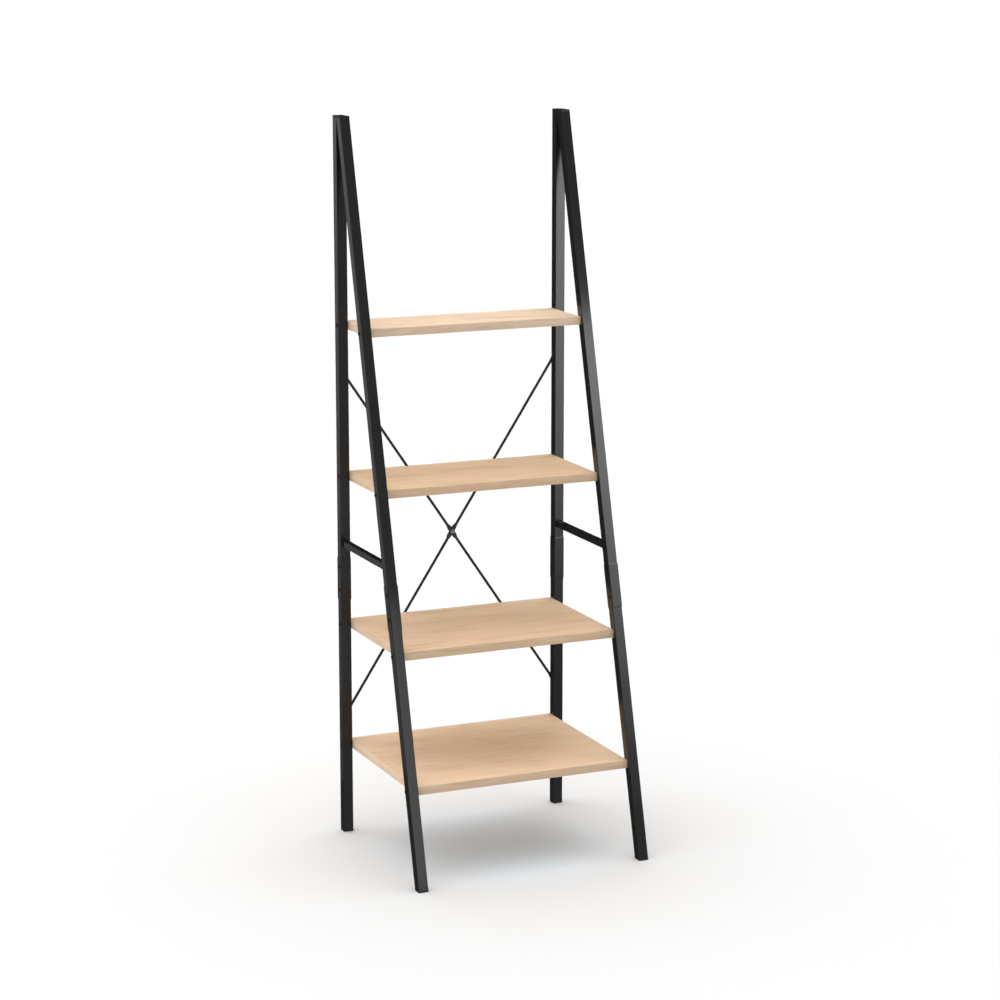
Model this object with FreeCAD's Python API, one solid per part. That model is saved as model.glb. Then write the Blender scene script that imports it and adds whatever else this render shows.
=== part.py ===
"""Ladder shelf: two A-shaped steel side frames, four boards and a crossed wire brace.

Units are millimetres. X runs across the shelf, -Y is the front, +Z is up, and the
origin is on the floor under the middle of the bounding box. Each side frame is one
upright and one leaning leg, both split at mid height and joined by bolted sleeves.
"""
import FreeCAD, Part
import math
import os

Vector = FreeCAD.Vector
Rotation = FreeCAD.Rotation
Placement = FreeCAD.Placement

# Overall size.
HEIGHT = 1830.0
WIDTH = 618.0
FLOOR_DEPTH = 536.0

# Square tube of the uprights and legs.
TUBE = 25.4
TUBE_WALL = 1.2
TUBE_CORNER = 1.2
BORE = TUBE - 2 * TUBE_WALL
BORE_CORNER = 0.6

# Plastic caps and feet closing the tube ends.
CAP_THICKNESS = 5.0
CAP_EDGE = 0.8
PLUG_LENGTH = 18.0
PLUG_WALL = 2.0

# Boards, from the top one down: height of each upper face above the floor.
BOARD_TOPS = (1322.0, 940.0, 558.0, 242.0)
BOARD_NAMES = ("top_shelf", "upper_middle_shelf", "lower_middle_shelf", "bottom_shelf")
BOARD_THICKNESS = 20.5
BOARD_EDGE = 0.5
BOARD_SETBACK = 11.5
BOLT_FROM_BOARD_EDGE = 8.0

# Rung tying each upright to its leg.
RUNG = 16.0
RUNG_WALL = 1.2
RUNG_CORNER = 1.0
RUNG_BORE_CORNER = 0.5
RUNG_MIDDLE = 758.5

# Sleeves over the joints half way up.
SLEEVE_WALL = 1.2
SLEEVE_LENGTH = 112.0
SLEEVE_TAPER = 3.0
SLEEVE_LIP = 0.4
UPRIGHT_SPLIT = 667.5
LEG_SPLIT = 664.0
SLEEVE_BOLT_OFFSET = 30.0

# M6 bolts of the boards and the sleeves, with their inserts, cap nuts and nuts.
BOLT = 6.0
BOLT_HEAD = 11.0
BOLT_HEAD_HEIGHT = 1.8
BOLT_SOCKET = 4.0
SOCKET_DEPTH = 1.2
DOME_SHARE = 0.8
BOLT_IN_BOARD = 14.0
INSERT_DIAMETER = 9.0
INSERT_LENGTH = 15.0
INSERT_BORE_DEPTH = 18.0
CAP_NUT_HEAD = 11.0
CAP_NUT_HEAD_HEIGHT = 1.8
CAP_NUT_SOCKET = 4.0
CAP_NUT_BARREL = 8.0
CAP_NUT_LENGTH = 12.0
CAP_NUT_FLOOR = 2.0
NUT_ACROSS_FLATS = 10.0
NUT_HEIGHT = 5.0
NUT_CHAMFER_SHARE = 0.12

# Crossed brace on the back of the uprights.
ROD = 7.0
ROD_GAP = 0.5
FLAT = 3.0
FLAT_WIDTH = 12.0
FLAT_HALF_LENGTH = 24.0
FLAT_SHOULDER = 10.0
END_RADIUS = 6.5
BRACE_TOP = 1202.5
BRACE_LEFT_BOTTOM = 295.5
BRACE_RIGHT_BOTTOM = 331.0
CENTRE_HEAD = 13.6
CENTRE_HEAD_HEIGHT = 3.3
END_BOLT = 5.0
END_HEAD = 9.5
END_HEAD_HEIGHT = 2.7
END_SOCKET = 3.0
END_BOLT_GRIP = 14.0
RIVET_NUT_BODY = 7.0
RIVET_NUT_LENGTH = 12.0
RIVET_NUT_BULGE = 9.5
RIVET_NUT_BULGE_LENGTH = 3.0

# Steps of the lean's iteration, and how edges are picked by place and by direction.
LEAN_STEPS = 20
SAME_PLACE = 0.01
ALMOST_PARALLEL = 0.9

# Derived positions.
ROD_AXIS = ROD_GAP + ROD / 2
BRACE_STAND = ROD_AXIS + FLAT + NUT_HEIGHT
BACK = (FLOOR_DEPTH + BRACE_STAND) / 2 - BRACE_STAND
TOE = BACK - FLOOR_DEPTH
TUBE_TOP = HEIGHT - CAP_THICKNESS
UPRIGHT_Y = BACK - TUBE / 2
SIDE_X = WIDTH / 2 - TUBE / 2
INNER_X = WIDTH / 2 - TUBE
REACH = 4 * TUBE


def leg_lean():
    """Angle of the legs from the vertical, for legs that touch the uprights at the top."""
    lean = 0.0
    for _ in range(LEAN_STEPS):
        top_front = BACK - TUBE - TUBE / math.cos(lean)
        lean = math.atan((top_front - TOE) / TUBE_TOP)
    return lean


LEAN = leg_lean()
LEG_SLICE = TUBE / math.cos(LEAN)


def leg_front(z):
    """Y of the front face of the legs at the height z."""
    return TOE + z * math.tan(LEAN)


def leg_axis(z):
    """Y of the centre line of the legs at the height z."""
    return leg_front(z) + LEG_SLICE / 2


def square_wire(side, corner, height):
    """Square outline with round corners, centred on the Z axis, at the given height."""
    half = side / 2
    edges = []
    for turn in range(4):
        spin = Rotation(Vector(0, 0, 1), 90 * turn)
        start = spin.multVec(Vector(half, -half + corner, 0))
        end = spin.multVec(Vector(half, half - corner, 0))
        middle = corner * (1 - math.sqrt(0.5))
        bend = spin.multVec(Vector(half - middle, half - middle, 0))
        stop = spin.multVec(Vector(half - corner, half, 0))
        lift = Vector(0, 0, height)
        edges.append(Part.makeLine(start + lift, end + lift))
        edges.append(Part.Arc(end + lift, bend + lift, stop + lift).toShape())
    return Part.Wire(edges)


def square_bar(side, corner, low, high):
    """Solid bar along Z from low to high."""
    return Part.Face(square_wire(side, corner, low)).extrude(Vector(0, 0, high - low))


def square_tube(side, corner, wall, inner_corner, low, high):
    """Hollow bar along Z from low to high."""
    outside = square_bar(side, corner, low, high)
    return outside.cut(square_bar(side - 2 * wall, inner_corner, low - 1, high + 1))


def frame_tube(low, high):
    """Length of the main tube along Z."""
    return square_tube(TUBE, TUBE_CORNER, TUBE_WALL, BORE_CORNER, low, high)


def placed(shape, x, y, z, rotation=Rotation()):
    """Copy of a shape, turned and then moved to x, y, z."""
    copy = shape.copy()
    copy.Placement = Placement(Vector(x, y, z), rotation).multiply(copy.Placement)
    return copy


def on_leg(shape, side, z):
    """Shape built along Z, laid along the leg of one side with its origin at height z."""
    return placed(shape, side * SIDE_X, leg_axis(z), z, Rotation(Vector(1, 0, 0), -math.degrees(LEAN)))


def slice_between(shape, low, high):
    """Part of a shape between two heights above the floor."""
    box = Part.makeBox(2 * WIDTH, 4 * FLOOR_DEPTH, high - low, Vector(-WIDTH, -2 * FLOOR_DEPTH, low))
    return shape.common(box)


def edges_along(shape, direction):
    """Straight edges of a shape that run along a direction."""
    edges = []
    for edge in shape.Edges:
        tangent = edge.tangentAt(edge.FirstParameter)
        if abs(tangent.dot(direction)) > ALMOST_PARALLEL:
            edges.append(edge)
    return edges


def cylinder_x(diameter, start, end, y, z):
    """Cylinder along X from start to end."""
    low = min(start, end)
    return Part.makeCylinder(diameter / 2, abs(end - start), Vector(low, y, z), Vector(1, 0, 0))


def cylinder_y(diameter, start, end, x, z):
    """Cylinder along Y from start to end."""
    low = min(start, end)
    return Part.makeCylinder(diameter / 2, abs(end - start), Vector(x, low, z), Vector(0, 1, 0))


def hexagon(across_flats, low, high):
    """Hexagonal prism along Z."""
    radius = across_flats / math.sqrt(3)
    points = []
    for corner in range(7):
        angle = math.radians(60 * corner)
        points.append(Vector(radius * math.cos(angle), radius * math.sin(angle), low))
    return Part.Face(Part.makePolygon(points)).extrude(Vector(0, 0, high - low))


def button_head(diameter, height, socket, socket_depth):
    """Domed head with a hexagon socket, standing on Z = 0."""
    dome = Part.makeCylinder(diameter / 2, height)
    rim = [edge for edge in dome.Edges if abs(edge.CenterOfMass.z - height) < SAME_PLACE]
    dome = dome.makeFillet(DOME_SHARE * height, rim)
    return dome.cut(hexagon(socket, height - socket_depth, height + 1))


def button_bolt(shank, length, head, head_height, socket):
    """Button-head bolt along Z: head above Z = 0, shank below it."""
    top = button_head(head, head_height, socket, SOCKET_DEPTH)
    return top.fuse(Part.makeCylinder(shank / 2, length, Vector(0, 0, -length))).removeSplitter()


def cap_nut():
    """Flat-headed cap nut along Z: head above Z = 0, threaded barrel below it."""
    head = button_head(CAP_NUT_HEAD, CAP_NUT_HEAD_HEIGHT, CAP_NUT_SOCKET, CAP_NUT_HEAD_HEIGHT / 2)
    base = Vector(0, 0, -CAP_NUT_LENGTH)
    barrel = Part.makeCylinder(CAP_NUT_BARREL / 2, CAP_NUT_LENGTH, base)
    bore = Part.makeCylinder(BOLT / 2, CAP_NUT_LENGTH - CAP_NUT_FLOOR, base)
    return head.fuse(barrel).cut(bore).removeSplitter()


def hex_nut(across_flats, height, bore):
    """Hexagonal nut along Z, from Z = 0 up, with its corners turned off."""
    body = hexagon(across_flats, 0, height)
    radius = across_flats / math.sqrt(3)
    turned = Part.makeCylinder(radius, height)
    rims = [edge for edge in turned.Edges if isinstance(edge.Curve, Part.Circle)]
    body = body.common(turned.makeChamfer(NUT_CHAMFER_SHARE * height, rims))
    return body.cut(Part.makeCylinder(bore / 2, height + 2, Vector(0, 0, -1)))


def outward(side):
    """Rotation that lays a bolt along X with its head on the outside of one side frame."""
    return Rotation(Vector(0, 0, 1), Vector(side, 0, 0))


def board_middle(index):
    """Height of the middle of one board."""
    return BOARD_TOPS[index] - BOARD_THICKNESS / 2


def board_front(index):
    """Y of the front edge of one board."""
    return leg_front(board_middle(index)) + BOARD_SETBACK


def board_bolt_points(index):
    """Y and Z of the two bolts at one end of a board, first the one in the upright."""
    height = board_middle(index)
    return [(UPRIGHT_Y, height), (board_front(index) + BOLT_FROM_BOARD_EDGE, height)]


def sleeve_bolt_points():
    """Y and Z of the four sleeve bolts of one side frame."""
    points = []
    for step in (-SLEEVE_BOLT_OFFSET, SLEEVE_BOLT_OFFSET):
        points.append((UPRIGHT_Y, UPRIGHT_SPLIT + step))
        height = LEG_SPLIT + step * math.cos(LEAN)
        points.append((leg_axis(height), height))
    return points


def brace_ends(side):
    """Heights of the brace bolts in the upright of one side."""
    bottom = BRACE_LEFT_BOTTOM if side < 0 else BRACE_RIGHT_BOTTOM
    return [BRACE_TOP, bottom]


def frame_holes(side):
    """Every bolt hole of one side frame, as one cutting shape."""
    tools = []
    inside = side * (INNER_X - 2 * SLEEVE_WALL)
    outside = side * (WIDTH / 2 + 2 * SLEEVE_WALL)
    for index in range(len(BOARD_TOPS)):
        for y, z in board_bolt_points(index):
            tools.append(cylinder_x(BOLT, inside, outside, y, z))
    for y, z in sleeve_bolt_points():
        tools.append(cylinder_x(CAP_NUT_BARREL, inside, side * SIDE_X, y, z))
        tools.append(cylinder_x(BOLT, side * SIDE_X, outside, y, z))
    for z in brace_ends(side):
        tools.append(cylinder_y(RIVET_NUT_BODY, BACK - TUBE / 2, BACK + 1, side * SIDE_X, z))
    return Part.makeCompound(tools)


def make_upright(side, holes):
    """Upper and lower lengths of the upright of one side."""
    upper = placed(frame_tube(UPRIGHT_SPLIT, TUBE_TOP), side * SIDE_X, UPRIGHT_Y, 0)
    lower = placed(frame_tube(CAP_THICKNESS, UPRIGHT_SPLIT), side * SIDE_X, UPRIGHT_Y, 0)
    return upper.cut(holes), lower.cut(holes)


def make_leg(side, holes):
    """Upper and lower lengths of the leaning leg of one side, cut level at the ends."""
    upper_length = (TUBE_TOP - LEG_SPLIT) / math.cos(LEAN) + REACH
    lower_length = LEG_SPLIT / math.cos(LEAN) + REACH
    upper = on_leg(frame_tube(0, upper_length), side, LEG_SPLIT)
    lower = on_leg(frame_tube(-lower_length, 0), side, LEG_SPLIT)
    upper = slice_between(upper, 0, TUBE_TOP)
    lower = slice_between(lower, CAP_THICKNESS, TUBE_TOP)
    return upper.cut(holes), lower.cut(holes)


def make_rung(side):
    """Small square tube from the front of the upright to the back of the leg."""
    front = leg_front(RUNG_MIDDLE) - REACH
    back = BACK - TUBE
    bar = square_tube(RUNG, RUNG_CORNER, RUNG_WALL, RUNG_BORE_CORNER, 0, back - front)
    bar = placed(bar, side * SIDE_X, back, RUNG_MIDDLE, Rotation(Vector(1, 0, 0), 90))
    low = RUNG_MIDDLE - RUNG
    high = RUNG_MIDDLE + RUNG
    outline = [
        Vector(-WIDTH, leg_front(low) + LEG_SLICE, low),
        Vector(-WIDTH, leg_front(high) + LEG_SLICE, high),
        Vector(-WIDTH, BACK, high),
        Vector(-WIDTH, BACK, low),
    ]
    room = Part.Face(Part.makePolygon(outline + outline[:1])).extrude(Vector(2 * WIDTH, 0, 0))
    return bar.common(room)


def sleeve_blank():
    """Sleeve along Z, centred on its middle, with slightly tapered ends."""
    half = SLEEVE_LENGTH / 2
    full = TUBE + 2 * SLEEVE_WALL
    slim = TUBE + 2 * SLEEVE_LIP
    corner = TUBE_CORNER + SLEEVE_WALL
    sections = [
        square_wire(slim, corner, -half),
        square_wire(full, corner, -half + SLEEVE_TAPER),
        square_wire(full, corner, half - SLEEVE_TAPER),
        square_wire(slim, corner, half),
    ]
    body = Part.makeLoft(sections, True, True)
    return body.cut(square_bar(TUBE, TUBE_CORNER, -half - 1, half + 1))


def make_sleeves(side, holes):
    """Joining sleeves of the upright and of the leg of one side."""
    upright = placed(sleeve_blank(), side * SIDE_X, UPRIGHT_Y, UPRIGHT_SPLIT)
    leg = on_leg(sleeve_blank(), side, LEG_SPLIT)
    return upright.cut(holes), leg.cut(holes)


def plug_core(low, high):
    """Hollow plastic spigot that fits the bore of the tube."""
    return square_tube(BORE, BORE_CORNER, PLUG_WALL, BORE_CORNER, low, high)


def make_feet(side):
    """Plastic feet of the upright and of the leg of one side, level with the floor."""
    pad = square_bar(TUBE, TUBE_CORNER, 0, CAP_THICKNESS)
    straight = pad.fuse(plug_core(CAP_THICKNESS, CAP_THICKNESS + PLUG_LENGTH)).removeSplitter()
    upright = placed(straight, side * SIDE_X, UPRIGHT_Y, 0)
    slanted_pad = on_leg(square_bar(TUBE, TUBE_CORNER, -REACH, REACH), side, 0)
    slanted_pad = slice_between(slanted_pad, 0, CAP_THICKNESS)
    spigot = on_leg(plug_core(-REACH, CAP_THICKNESS + PLUG_LENGTH), side, 0)
    spigot = slice_between(spigot, CAP_THICKNESS, HEIGHT)
    return upright, slanted_pad.fuse(spigot).removeSplitter()


def make_top_cap(side):
    """One plastic cap that closes the upright and the leg together."""
    length = TUBE + LEG_SLICE
    corner = Vector(side * SIDE_X - TUBE / 2, BACK - length, TUBE_TOP)
    plate = Part.makeBox(TUBE, length, CAP_THICKNESS, corner)
    plate = plate.makeFillet(TUBE_CORNER, edges_along(plate, Vector(0, 0, 1)))
    rim = [edge for edge in plate.Edges if edge.BoundBox.ZMin > HEIGHT - SAME_PLACE]
    plate = plate.makeFillet(CAP_EDGE, rim)
    spigot = placed(plug_core(TUBE_TOP - PLUG_LENGTH, TUBE_TOP), side * SIDE_X, UPRIGHT_Y, 0)
    slanted = on_leg(plug_core(-PLUG_LENGTH, REACH), side, TUBE_TOP)
    slanted = slice_between(slanted, 0, TUBE_TOP)
    return plate.fuse(spigot).fuse(slanted).removeSplitter()


def make_board(index):
    """One board between the side frames, bored at both ends for its inserts."""
    front = board_front(index)
    low = BOARD_TOPS[index] - BOARD_THICKNESS
    board = Part.makeBox(2 * INNER_X, BACK - front, BOARD_THICKNESS, Vector(-INNER_X, front, low))
    board = board.makeFillet(BOARD_EDGE, edges_along(board, Vector(1, 0, 0)))
    for side in (-1, 1):
        for y, z in board_bolt_points(index):
            depth = side * (INNER_X - INSERT_BORE_DEPTH)
            board = board.cut(cylinder_x(INSERT_DIAMETER, depth, side * (INNER_X + 1), y, z))
    return board


def make_board_bolts(side):
    """Bolts through the tubes into the board ends of one side."""
    bolt = button_bolt(BOLT, TUBE + BOLT_IN_BOARD, BOLT_HEAD, BOLT_HEAD_HEIGHT, BOLT_SOCKET)
    bolts = []
    for index in range(len(BOARD_TOPS)):
        for y, z in board_bolt_points(index):
            bolts.append(placed(bolt, side * WIDTH / 2, y, z, outward(side)))
    return Part.makeCompound(bolts)


def make_inserts(side):
    """Threaded inserts in the board ends of one side."""
    inserts = []
    depth = side * (INNER_X - INSERT_LENGTH)
    for index in range(len(BOARD_TOPS)):
        for y, z in board_bolt_points(index):
            body = cylinder_x(INSERT_DIAMETER, side * INNER_X, depth, y, z)
            inserts.append(body.cut(cylinder_x(BOLT, side * (INNER_X + 1), depth - side, y, z)))
    return Part.makeCompound(inserts)


def make_sleeve_fixings(side):
    """Bolts and cap nuts that pin the sleeves of one side to their tubes."""
    reach = TUBE + 2 * SLEEVE_WALL - CAP_NUT_FLOOR
    bolt = button_bolt(BOLT, reach, BOLT_HEAD, BOLT_HEAD_HEIGHT, BOLT_SOCKET)
    nut = cap_nut()
    bolts = []
    nuts = []
    for y, z in sleeve_bolt_points():
        bolts.append(placed(bolt, side * (WIDTH / 2 + SLEEVE_WALL), y, z, outward(side)))
        nuts.append(placed(nut, side * (INNER_X - SLEEVE_WALL), y, z, outward(-side)))
    return Part.makeCompound(bolts), Part.makeCompound(nuts)


def flat_outline(middle, ends):
    """Plan of the widened part of a rod: x along the rod, z across it."""
    half_rod = ROD / 2
    half_flat = FLAT_WIDTH / 2
    left = -FLAT_HALF_LENGTH if -1 in ends else 0
    right = FLAT_HALF_LENGTH if 1 in ends else 0
    points = []
    if -1 in ends:
        points.append((left, half_rod))
    points.append((-FLAT_SHOULDER if -1 in ends else 0, half_flat))
    points.append((FLAT_SHOULDER if 1 in ends else 0, half_flat))
    if 1 in ends:
        points.append((right, half_rod))
    ring = [Vector(middle + x, 0, z) for x, z in points]
    ring = ring + [Vector(middle + x, 0, -z) for x, z in reversed(points)]
    return Part.Face(Part.makePolygon(ring + ring[:1]))


def make_rod(left_z, right_z, middle_low):
    """One rod of the brace, pressed flat at both ends and where the rods cross.

    The rod is built along X, with Y measured from the back of the uprights, and then
    turned to run between its two bolts. middle_low is the near side of its middle flat.
    """
    span = 2 * SIDE_X
    length = math.hypot(span, right_z - left_z)
    cross = crossing_distance(left_z, right_z)
    body = Part.makeCylinder(ROD / 2, length, Vector(0, ROD_AXIS, 0), Vector(1, 0, 0))
    depth = Vector(0, 2 * ROD_AXIS, 0)
    for middle, ends in ((0, (1,)), (cross, (-1, 1)), (length, (-1,))):
        body = body.fuse(flat_outline(middle, ends).extrude(depth))
    for x in (0, length):
        body = body.fuse(cylinder_y(2 * END_RADIUS, 0, 2 * ROD_AXIS, x, 0))
    near = ROD_GAP
    far = ROD_GAP + ROD
    middle_high = middle_low + FLAT
    outline = [
        (-REACH, 0),
        (FLAT_SHOULDER, 0),
        (FLAT_HALF_LENGTH, near),
        (cross - FLAT_HALF_LENGTH, near),
        (cross - FLAT_SHOULDER, middle_low),
        (cross + FLAT_SHOULDER, middle_low),
        (cross + FLAT_HALF_LENGTH, near),
        (length - FLAT_HALF_LENGTH, near),
        (length - FLAT_SHOULDER, 0),
        (length + REACH, 0),
        (length + REACH, FLAT),
        (length - FLAT_SHOULDER, FLAT),
        (length - FLAT_HALF_LENGTH, far),
        (cross + FLAT_HALF_LENGTH, far),
        (cross + FLAT_SHOULDER, middle_high),
        (cross - FLAT_SHOULDER, middle_high),
        (cross - FLAT_HALF_LENGTH, far),
        (FLAT_HALF_LENGTH, far),
        (FLAT_SHOULDER, FLAT),
        (-REACH, FLAT),
    ]
    ring = [Vector(x, y, -FLAT_WIDTH) for x, y in outline]
    press = Part.Face(Part.makePolygon(ring + ring[:1])).extrude(Vector(0, 0, 2 * FLAT_WIDTH))
    body = body.common(press)
    for x, hole in ((0, END_BOLT), (cross, BOLT), (length, END_BOLT)):
        body = body.cut(cylinder_y(hole, -1, 2 * ROD_AXIS + 1, x, 0))
    turn = Rotation(Vector(1, 0, 0), Vector(span, 0, right_z - left_z))
    return placed(body.removeSplitter(), -SIDE_X, BACK, left_z, turn)


def crossing_point():
    """X and Z where the two rods cross."""
    span = 2 * SIDE_X
    fall = (BRACE_TOP - BRACE_RIGHT_BOTTOM) / span
    rise = (BRACE_TOP - BRACE_LEFT_BOTTOM) / span
    along = (BRACE_TOP - BRACE_LEFT_BOTTOM) / (fall + rise)
    return along - SIDE_X, BRACE_TOP - fall * along


def crossing_distance(left_z, right_z):
    """Distance of the crossing from the left bolt, along the rod with these end heights."""
    share = (crossing_point()[0] + SIDE_X) / (2 * SIDE_X)
    return share * math.hypot(2 * SIDE_X, right_z - left_z)


def make_centre_fixing():
    """Bolt and nut through the crossing of the two rods."""
    x, z = crossing_point()
    near = BACK + ROD_AXIS - FLAT
    far = BACK + ROD_AXIS + FLAT
    bolt = button_bolt(BOLT, far - near + NUT_HEIGHT, CENTRE_HEAD, CENTRE_HEAD_HEIGHT, BOLT_SOCKET)
    bolt = placed(bolt, x, near, z, Rotation(Vector(0, 0, 1), Vector(0, -1, 0)))
    nut = hex_nut(NUT_ACROSS_FLATS, NUT_HEIGHT, BOLT)
    nut = placed(nut, x, far, z, Rotation(Vector(0, 0, 1), Vector(0, 1, 0)))
    return bolt, nut


def make_end_fixings():
    """Bolts at the four ends of the brace and the rivet nuts that hold them.

    Each rivet nut is flush with the back of its upright and bulges behind the tube's wall.
    """
    bolt = button_bolt(END_BOLT, END_BOLT_GRIP, END_HEAD, END_HEAD_HEIGHT, END_SOCKET)
    inner_face = BACK - TUBE_WALL
    bolts = []
    nuts = []
    for side in (-1, 1):
        x = side * SIDE_X
        for z in brace_ends(side):
            bolts.append(placed(bolt, x, BACK + FLAT, z, Rotation(Vector(0, 0, 1), Vector(0, 1, 0))))
            body = cylinder_y(RIVET_NUT_BODY, BACK - RIVET_NUT_LENGTH, BACK, x, z)
            bulge = cylinder_y(RIVET_NUT_BULGE, inner_face - RIVET_NUT_BULGE_LENGTH, inner_face, x, z)
            bore = cylinder_y(END_BOLT, BACK - RIVET_NUT_LENGTH - 1, BACK + 1, x, z)
            nuts.append(body.fuse(bulge).cut(bore).removeSplitter())
    return Part.makeCompound(bolts), Part.makeCompound(nuts)


def build():
    """Every node of the shelf by name."""
    nodes = {}
    for name, side in (("left", -1), ("right", 1)):
        holes = frame_holes(side)
        nodes[name + "_upper_upright"], nodes[name + "_lower_upright"] = make_upright(side, holes)
        nodes[name + "_upper_leg"], nodes[name + "_lower_leg"] = make_leg(side, holes)
        nodes[name + "_rung"] = make_rung(side)
        nodes[name + "_upright_sleeve"], nodes[name + "_leg_sleeve"] = make_sleeves(side, holes)
        nodes[name + "_upright_foot"], nodes[name + "_leg_foot"] = make_feet(side)
        nodes[name + "_top_cap"] = make_top_cap(side)
        nodes[name + "_shelf_bolts"] = make_board_bolts(side)
        nodes[name + "_shelf_inserts"] = make_inserts(side)
        bolts, nuts = make_sleeve_fixings(side)
        nodes[name + "_sleeve_bolts"] = bolts
        nodes[name + "_sleeve_cap_nuts"] = nuts
    for index, name in enumerate(BOARD_NAMES):
        nodes[name] = make_board(index)
    nodes["brace_rod_front"] = make_rod(BRACE_TOP, BRACE_RIGHT_BOTTOM, ROD_AXIS - FLAT)
    nodes["brace_rod_rear"] = make_rod(BRACE_LEFT_BOTTOM, BRACE_TOP, ROD_AXIS)
    nodes["brace_centre_bolt"], nodes["brace_centre_nut"] = make_centre_fixing()
    nodes["brace_end_bolts"], nodes["brace_rivet_nuts"] = make_end_fixings()
    return nodes


os.makedirs("parts", exist_ok=True)
for node, shape in build().items():
    shape.exportStep("parts/" + node + ".step")
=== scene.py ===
"""Looks of the ladder shelf: finishes, boards, brace rods, weld beads and the studio.

Everything is in metres in the part's own frame: X across the shelf, -Y its front, +Z up.
"""
import functools
import logging
import math
from collections.abc import Callable, Iterable
from dataclasses import dataclass
from enum import Enum
from typing import Union

import bmesh
import bpy
from mathutils import Matrix, Vector


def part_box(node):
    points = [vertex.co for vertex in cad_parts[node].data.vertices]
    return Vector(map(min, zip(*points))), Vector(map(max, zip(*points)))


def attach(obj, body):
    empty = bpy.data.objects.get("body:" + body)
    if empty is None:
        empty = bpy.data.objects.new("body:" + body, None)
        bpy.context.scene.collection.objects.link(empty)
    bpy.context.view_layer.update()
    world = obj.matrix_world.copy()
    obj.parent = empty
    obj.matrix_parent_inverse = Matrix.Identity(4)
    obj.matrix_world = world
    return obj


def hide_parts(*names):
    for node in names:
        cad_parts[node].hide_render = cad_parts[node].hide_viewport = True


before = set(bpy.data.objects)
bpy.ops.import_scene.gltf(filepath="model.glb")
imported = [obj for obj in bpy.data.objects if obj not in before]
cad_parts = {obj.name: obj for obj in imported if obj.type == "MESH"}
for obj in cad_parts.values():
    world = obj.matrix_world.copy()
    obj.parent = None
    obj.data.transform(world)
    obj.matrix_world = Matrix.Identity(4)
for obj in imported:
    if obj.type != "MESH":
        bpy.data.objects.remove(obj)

LOG = logging.getLogger("ladder_shelf")
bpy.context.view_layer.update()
BODY = "root"
MM = 0.001
SAME = 0.05 * MM

Triple = tuple[float, float, float]
Colour = Triple
Value = Union["Sock", float, tuple[float, ...]]


# ---------------------------------------------------------------- shader tools


class Sock:
    """An output socket that takes part in arithmetic by adding Math nodes."""

    def __init__(self, graph: "Graph", socket: bpy.types.NodeSocket) -> None:
        """Wraps one output socket of a graph."""
        self.graph = graph
        self.socket = socket

    def __add__(self, other: Value) -> "Sock":
        """Sum."""
        return self.graph.math("ADD", self, other)

    def __radd__(self, other: Value) -> "Sock":
        """Sum with a number on the left."""
        return self.graph.math("ADD", other, self)

    def __sub__(self, other: Value) -> "Sock":
        """Difference."""
        return self.graph.math("SUBTRACT", self, other)

    def __rsub__(self, other: Value) -> "Sock":
        """Difference with a number on the left."""
        return self.graph.math("SUBTRACT", other, self)

    def __mul__(self, other: Value) -> "Sock":
        """Product."""
        return self.graph.math("MULTIPLY", self, other)

    def __pow__(self, other: Value) -> "Sock":
        """Power."""
        return self.graph.math("POWER", self, other)

    def sin(self) -> "Sock":
        """Sine of an angle in radians."""
        return self.graph.math("SINE", self, 0.0)

    def above(self, floor: float) -> "Sock":
        """The value, or the floor where the value is lower."""
        return self.graph.math("MAXIMUM", self, floor)

    def ramp(self, low: float, high: float) -> "Sock":
        """Smooth rise from 0 at low to 1 at high."""
        made = self.graph.node(
            "ShaderNodeMapRange",
            {"interpolation_type": "SMOOTHSTEP"},
            {"Value": self, "From Min": low, "From Max": high},
        )
        return self.graph.out(made)


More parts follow.
